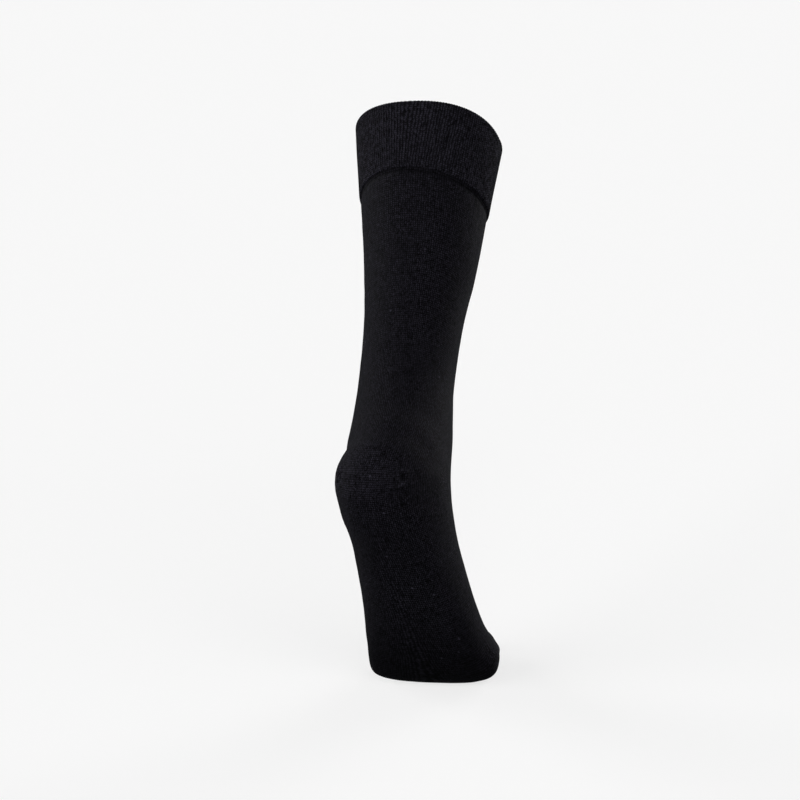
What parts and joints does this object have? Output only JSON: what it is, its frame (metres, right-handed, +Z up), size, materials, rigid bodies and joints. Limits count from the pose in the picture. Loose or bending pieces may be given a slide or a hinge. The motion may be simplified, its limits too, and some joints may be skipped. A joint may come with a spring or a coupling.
{
  "type": "dress sock",
  "caption": "Hollow knitted calf-length dress sock with a ribbed cuff, shaped as worn on a left foot that pushes off on its toes.",
  "frame": {"origin": "centre of the leg opening, where the leg that wears the sock holds it up", "axes": "+Z up, the toes point along -Y, and the big toe side is -X"},
  "size_m": [0.153, 0.2821, 0.3844],
  "materials": {
    "cuff_knit": "matte ribbed knit, black",
    "body_knit": "matte fine jersey knit, black"
  },
  "bodies": {
    "root": {"cuff": "cuff_knit", "leg": "body_knit", "heel": "body_knit", "foot": "body_knit", "toe": "body_knit"}
  },
  "joints": []
}
